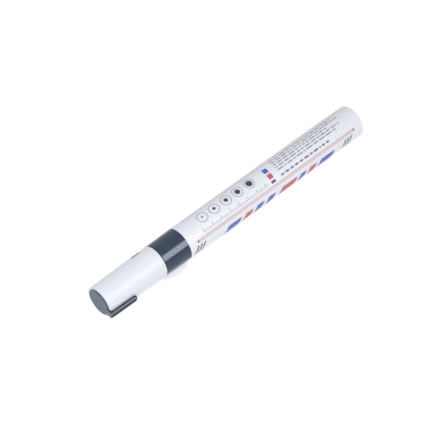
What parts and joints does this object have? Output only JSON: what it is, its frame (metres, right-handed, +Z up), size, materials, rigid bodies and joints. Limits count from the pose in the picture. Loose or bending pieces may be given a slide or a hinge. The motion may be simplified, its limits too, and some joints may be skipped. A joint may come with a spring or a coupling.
{
  "type": "paint marker",
  "caption": "Valve-action paint marker with a white printed metal barrel, a dark collar, and a white pull-off cap with a dark end plug and short pocket clip.",
  "frame": {"origin": "on the table, under the middle of the marker's length and below its axis, with the marker lying on its side", "axes": "+X along the marker from the cap's end to the barrel's rear, +Z up from the table; the clip points to -Y"},
  "size_m": [0.1446, 0.0161, 0.015],
  "materials": {
    "white_lacquer": null,
    "white_plastic": "glossy moulded white",
    "dark_plastic": "glossy moulded dark slate",
    "natural_plastic": "natural unpigmented moulding",
    "nib_fibre": "bonded white fibre",
    "seal_rubber": "smooth black",
    "steel": "bright"
  },
  "bodies": {
    "barrel_unit": {"barrel": "white_lacquer", "collar": "dark_plastic", "barrel_seal": "seal_rubber", "nose_cone": "dark_plastic", "valve_seat": "seal_rubber", "valve_cage": "natural_plastic", "valve_spring": "steel"},
    "cap_unit": {"cap_shell": "white_plastic", "cap_plug": "dark_plastic", "inner_cap": "natural_plastic"},
    "nib_unit": {"nib": "nib_fibre"},
    "stem_unit": {"valve_stem": "natural_plastic"},
    "ball_1_unit": {"mixing_ball_1": "steel"},
    "ball_2_unit": {"mixing_ball_2": "steel"}
  },
  "joints": [
    {"name": "cap_pull", "type": "slide", "parent": "barrel_unit", "child": "cap_unit", "axis": [-1, 0, 0], "range_m": [0, 0.045]},
    {"name": "nib_press", "type": "slide", "parent": "barrel_unit", "child": "nib_unit", "axis": [1, 0, 0], "range_m": [0, 0.002], "stiffness_N_per_m": 200},
    {"name": "valve_lift", "type": "slide", "parent": "barrel_unit", "child": "stem_unit", "axis": [1, 0, 0], "range_m": [0, 0.002], "deforming": ["valve_spring"]},
    {"name": "ball_1_roll", "type": "slide", "parent": "barrel_unit", "child": "ball_1_unit", "axis": [-1, 0, 0], "range_m": [0, 0.07]},
    {"name": "ball_2_roll", "type": "slide", "parent": "barrel_unit", "child": "ball_2_unit", "axis": [-1, 0, 0], "range_m": [0, 0.07]}
  ],
  "couplings": [
    {"joint": "valve_lift", "follows": "nib_press", "ratio": 1},
    {"joint": "ball_2_roll", "follows": "ball_1_roll", "ratio": 1}
  ]
}
